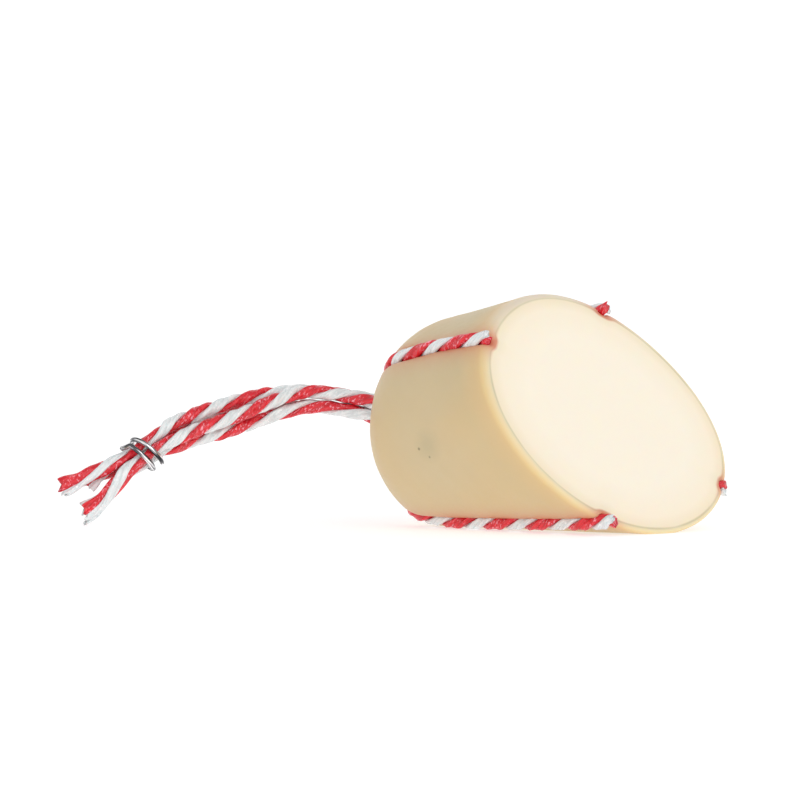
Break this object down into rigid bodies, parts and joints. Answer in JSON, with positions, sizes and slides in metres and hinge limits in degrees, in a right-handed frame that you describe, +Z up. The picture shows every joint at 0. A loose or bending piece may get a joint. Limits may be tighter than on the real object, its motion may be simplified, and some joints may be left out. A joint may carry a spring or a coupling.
{
  "type": "provolone cheese",
  "caption": "Rounded end of a small hung cheese with a slanted cut face, bound with red and white twine whose clipped tail trails from the tip.",
  "frame": {"origin": "middle of the cheese and its strings in plan, on the table it rests on", "axes": "+X along the cheese towards the cut face, -Y the side seen first, +Z up"},
  "size_m": [0.1981, 0.146, 0.0828],
  "materials": {
    "cheese": "waxy pale yellow paste and a smooth tan rind",
    "twine": "shiny plastic film twine of one red and one white ply",
    "steel": "bright bent steel wire"
  },
  "bodies": {
    "root": {"cheese": "cheese", "string_front_top": "twine", "string_front_bottom": "twine", "string_back_top": "twine", "string_back_bottom": "twine", "twine_1": "twine", "twine_2": "twine", "twine_3": "twine", "twine_4": "twine", "clip": "steel"}
  },
  "joints": []
}
